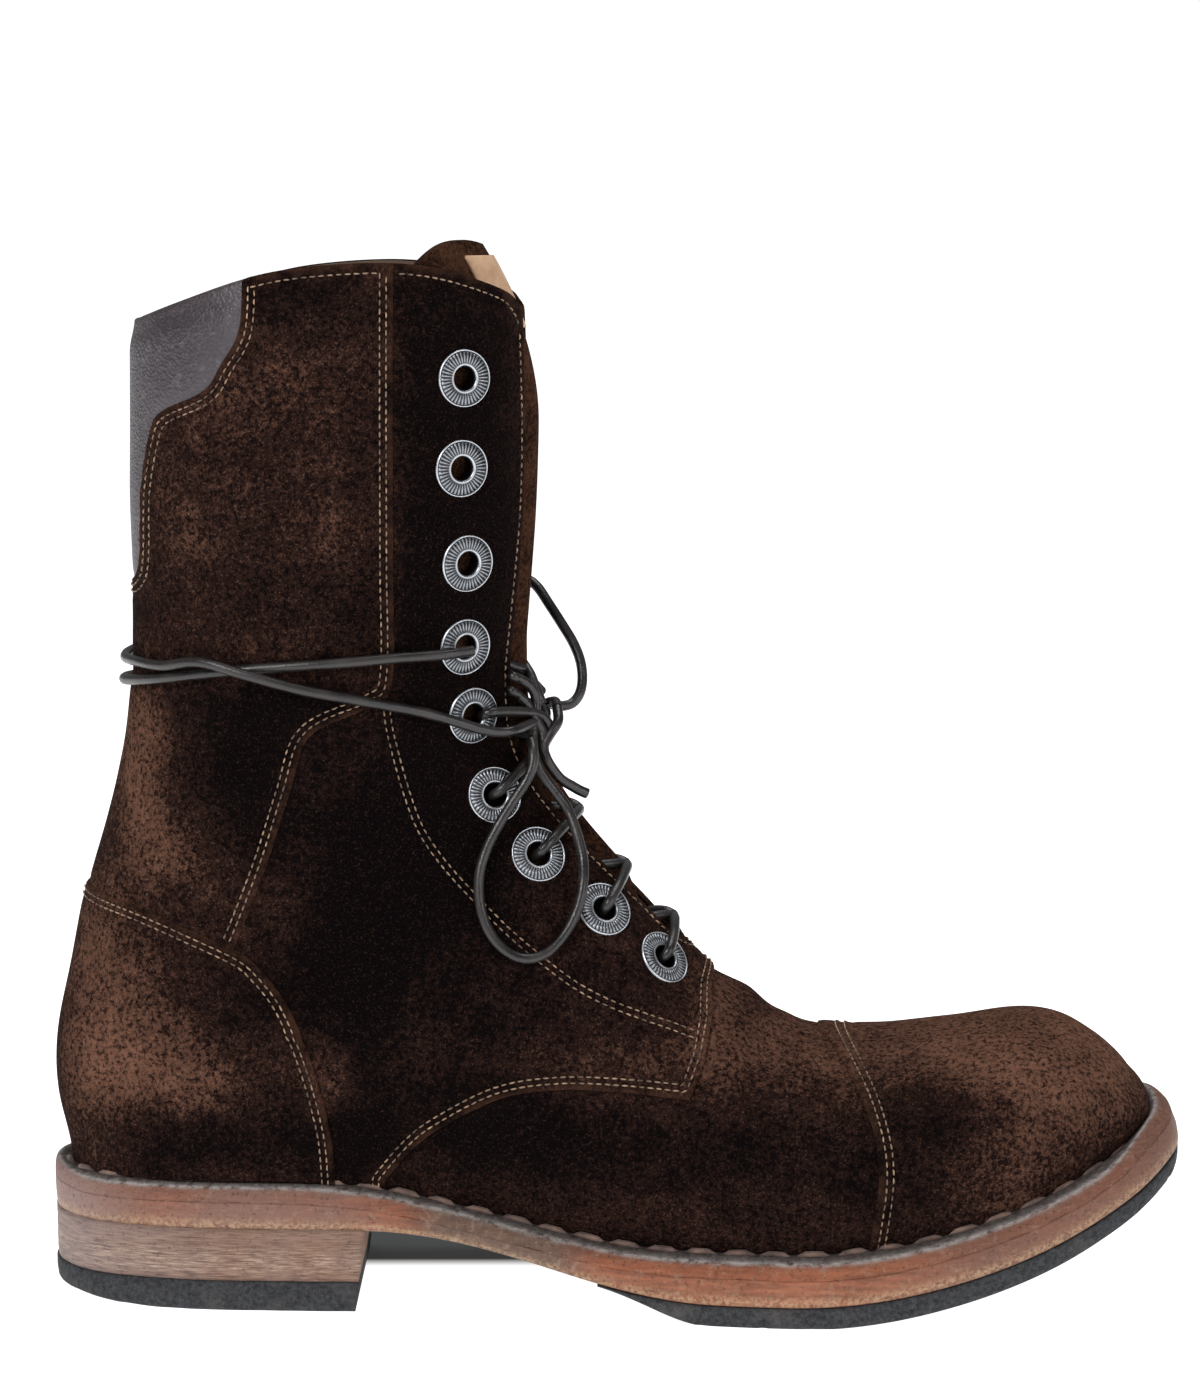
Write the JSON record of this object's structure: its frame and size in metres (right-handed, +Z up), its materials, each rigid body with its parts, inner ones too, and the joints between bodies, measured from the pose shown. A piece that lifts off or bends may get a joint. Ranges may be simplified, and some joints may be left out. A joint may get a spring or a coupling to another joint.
{
  "type": "lace-up ankle boot",
  "caption": "Tall lace-up ankle boot for the right foot: suede upper open at the collar and throat, toe cap, tongue, eyelets and wound lace, leather welt, stacked heel and rubber treads.",
  "frame": {"origin": "middle of the heel's flat underside, on the floor", "axes": "+X towards the toe, +Y towards the inner side of the foot, +Z up"},
  "size_m": [0.3057, 0.1045, 0.2813],
  "materials": {
    "suede": "dark brown suede, napped and scuffed",
    "smooth_leather": "smooth dark leather, half gloss",
    "label": "tan leather tab, matt",
    "lining": "brown lining leather, matt",
    "welt_leather": "grey-brown veg leather, worn edge",
    "sole_leather": "red-brown stacked leather, waxed edge",
    "rubber": "charcoal rubber, matt",
    "gunmetal": "gunmetal, ribbed",
    "waxed_lace": "round waxed cord"
  },
  "bodies": {
    "root": {"upper": "suede", "toe_cap": "suede", "heel_counter": "suede", "shaft_panel": "suede", "collar_pad": "smooth_leather", "tongue": "suede", "tongue_label": "label", "insole": "lining", "welt": "welt_leather", "midsole": "sole_leather", "heel_stack": "sole_leather", "heel_lift": "rubber", "forefoot_tread": "rubber", "eyelet_outer_1": "gunmetal", "eyelet_outer_2": "gunmetal", "eyelet_outer_3": "gunmetal", "eyelet_outer_4": "gunmetal", "eyelet_outer_5": "gunmetal", "eyelet_outer_6": "gunmetal", "eyelet_outer_7": "gunmetal", "eyelet_outer_8": "gunmetal", "eyelet_outer_9": "gunmetal", "eyelet_inner_1": "gunmetal", "eyelet_inner_2": "gunmetal", "eyelet_inner_3": "gunmetal", "eyelet_inner_4": "gunmetal", "eyelet_inner_5": "gunmetal", "eyelet_inner_6": "gunmetal", "eyelet_inner_7": "gunmetal", "eyelet_inner_8": "gunmetal", "eyelet_inner_9": "gunmetal", "lace_cross_1": "waxed_lace", "lace_cross_2": "waxed_lace", "lace_cross_3": "waxed_lace", "lace_cross_4": "waxed_lace", "lace_cross_5": "waxed_lace", "lace_wrap_outer": "waxed_lace", "lace_wrap_inner": "waxed_lace", "lace_loop_outer": "waxed_lace", "lace_loop_inner": "waxed_lace", "lace_end_outer": "waxed_lace", "lace_end_inner": "waxed_lace", "lace_knot": "waxed_lace"}
  },
  "joints": []
}
